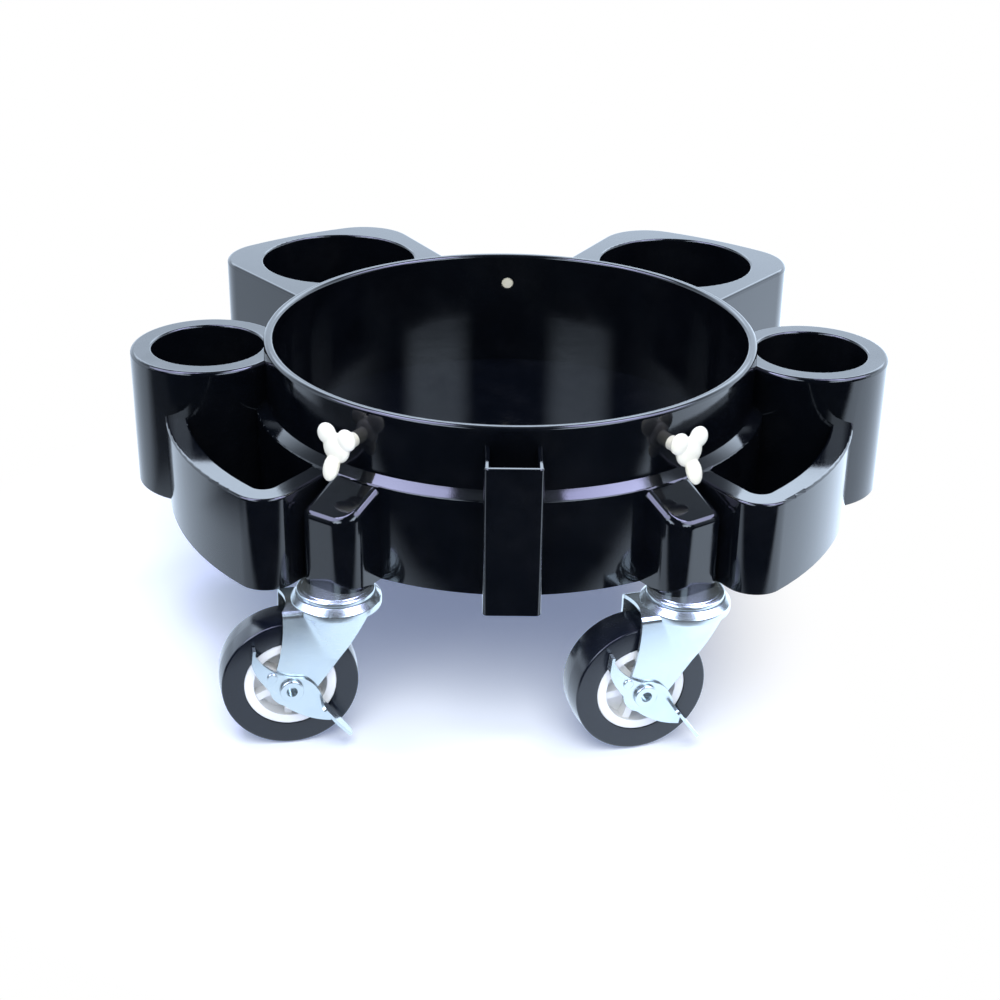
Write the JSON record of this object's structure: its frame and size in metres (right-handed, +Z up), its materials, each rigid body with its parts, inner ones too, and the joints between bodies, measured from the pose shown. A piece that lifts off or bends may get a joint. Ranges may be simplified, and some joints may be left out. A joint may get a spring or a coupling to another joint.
{
  "type": "bucket trolley",
  "caption": "Round black plastic trolley that a cleaning bucket stands in, with clamping thumbscrews, side trays, round cups and a front socket, on swivel casters with brake levers.",
  "frame": {"origin": "centre of the bucket seat, on top of the well floor and on the ring's axis", "axes": "+Z up along the ring's axis, the front with the socket tube faces -Y, +X to the right seen from the front"},
  "size_m": [0.4428, 0.4078, 0.1835],
  "materials": {
    "black_plastic": "glossy",
    "white_nylon": "satin",
    "zinc_steel": "bright zinc plate",
    "bearing_steel": "polished",
    "insert_brass": "turned",
    "hub_white": "moulded",
    "tyre_black": "smooth"
  },
  "bodies": {
    "trolley": {"body_moulding": "black_plastic", "stem_inserts": "insert_brass", "stem_front_left": "zinc_steel", "raceway_cap_front_left": "zinc_steel", "ball_ring_front_left": "bearing_steel", "stem_front_right": "zinc_steel", "raceway_cap_front_right": "zinc_steel", "ball_ring_front_right": "bearing_steel", "stem_side_left": "zinc_steel", "raceway_cap_side_left": "zinc_steel", "ball_ring_side_left": "bearing_steel", "stem_side_right": "zinc_steel", "raceway_cap_side_right": "zinc_steel", "ball_ring_side_right": "bearing_steel", "stem_rear": "zinc_steel", "raceway_cap_rear": "zinc_steel", "ball_ring_rear": "bearing_steel"},
    "swivel_front_left": {"fork_front_left": "zinc_steel", "axle_bolt_front_left": "zinc_steel", "axle_nut_front_left": "zinc_steel", "axle_sleeve_front_left": "zinc_steel"},
    "wheel_front_left": {"wheel_hub_front_left": "hub_white", "tyre_front_left": "tyre_black"},
    "brake_front_left": {"brake_lever_front_left": "zinc_steel", "brake_rivet_front_left": "zinc_steel"},
    "swivel_front_right": {"fork_front_right": "zinc_steel", "axle_bolt_front_right": "zinc_steel", "axle_nut_front_right": "zinc_steel", "axle_sleeve_front_right": "zinc_steel"},
    "wheel_front_right": {"wheel_hub_front_right": "hub_white", "tyre_front_right": "tyre_black"},
    "brake_front_right": {"brake_lever_front_right": "zinc_steel", "brake_rivet_front_right": "zinc_steel"},
    "swivel_side_left": {"fork_side_left": "zinc_steel", "axle_bolt_side_left": "zinc_steel", "axle_nut_side_left": "zinc_steel", "axle_sleeve_side_left": "zinc_steel"},
    "wheel_side_left": {"wheel_hub_side_left": "hub_white", "tyre_side_left": "tyre_black"},
    "swivel_side_right": {"fork_side_right": "zinc_steel", "axle_bolt_side_right": "zinc_steel", "axle_nut_side_right": "zinc_steel", "axle_sleeve_side_right": "zinc_steel"},
    "wheel_side_right": {"wheel_hub_side_right": "hub_white", "tyre_side_right": "tyre_black"},
    "swivel_rear": {"fork_rear": "zinc_steel", "axle_bolt_rear": "zinc_steel", "axle_nut_rear": "zinc_steel", "axle_sleeve_rear": "zinc_steel"},
    "wheel_rear": {"wheel_hub_rear": "hub_white", "tyre_rear": "tyre_black"},
    "screw_front_left": {"thumbscrew_front_left": "white_nylon"},
    "screw_front_right": {"thumbscrew_front_right": "white_nylon"},
    "screw_rear": {"thumbscrew_rear": "white_nylon"}
  },
  "joints": [
    {"name": "swivel_front_left", "type": "hinge", "parent": "trolley", "child": "swivel_front_left", "pos_m": [-0.09338, -0.13845, -0.0215], "axis": [0, 0, 1], "continuous": true},
    {"name": "wheel_front_left", "type": "hinge", "parent": "swivel_front_left", "child": "wheel_front_left", "pos_m": [-0.11987, -0.14369, -0.074], "axis": [-0.1942, 0.981, 0], "continuous": true},
    {"name": "brake_front_left", "type": "hinge", "parent": "swivel_front_left", "child": "brake_front_left", "pos_m": [-0.11987, -0.14369, -0.074], "axis": [0.1942, -0.981, 0], "range_deg": [0, 28]},
    {"name": "swivel_front_right", "type": "hinge", "parent": "trolley", "child": "swivel_front_right", "pos_m": [0.09338, -0.13845, -0.0215], "axis": [0, 0, 1], "continuous": true},
    {"name": "wheel_front_right", "type": "hinge", "parent": "swivel_front_right", "child": "wheel_front_right", "pos_m": [0.0675, -0.14612, -0.074], "axis": [-0.284, 0.9588, 0], "continuous": true},
    {"name": "brake_front_right", "type": "hinge", "parent": "swivel_front_right", "child": "brake_front_right", "pos_m": [0.0675, -0.14612, -0.074], "axis": [0.284, -0.9588, 0], "range_deg": [0, 28]},
    {"name": "swivel_side_left", "type": "hinge", "parent": "trolley", "child": "swivel_side_left", "pos_m": [-0.15883, 0.05161, -0.0215], "axis": [0, 0, 1], "continuous": true},
    {"name": "wheel_side_left", "type": "hinge", "parent": "swivel_side_left", "child": "wheel_side_left", "pos_m": [-0.13209, 0.05536, -0.074], "axis": [0.1392, -0.9903, 0], "continuous": true},
    {"name": "swivel_side_right", "type": "hinge", "parent": "trolley", "child": "swivel_side_right", "pos_m": [0.15883, 0.05161, -0.0215], "axis": [0, 0, 1], "continuous": true},
    {"name": "wheel_side_right", "type": "hinge", "parent": "swivel_side_right", "child": "wheel_side_right", "pos_m": [0.13345, 0.04237, -0.074], "axis": [-0.342, 0.9397, 0], "continuous": true},
    {"name": "swivel_rear", "type": "hinge", "parent": "trolley", "child": "swivel_rear", "pos_m": [0, 0.167, -0.0215], "axis": [0, 0, 1], "continuous": true},
    {"name": "wheel_rear", "type": "hinge", "parent": "swivel_rear", "child": "wheel_rear", "pos_m": [-0.02631, 0.16093, -0.074], "axis": [-0.225, 0.9744, 0], "continuous": true},
    {"name": "screw_front_left", "type": "slide", "parent": "trolley", "child": "screw_front_left", "axis": [0.5878, 0.809, 0], "range_m": [-0.003, 0.008]},
    {"name": "screw_front_right", "type": "slide", "parent": "trolley", "child": "screw_front_right", "axis": [-0.5878, 0.809, 0], "range_m": [-0.003, 0.008]},
    {"name": "screw_rear", "type": "slide", "parent": "trolley", "child": "screw_rear", "axis": [0, -1, 0], "range_m": [-0.003, 0.008]}
  ]
}
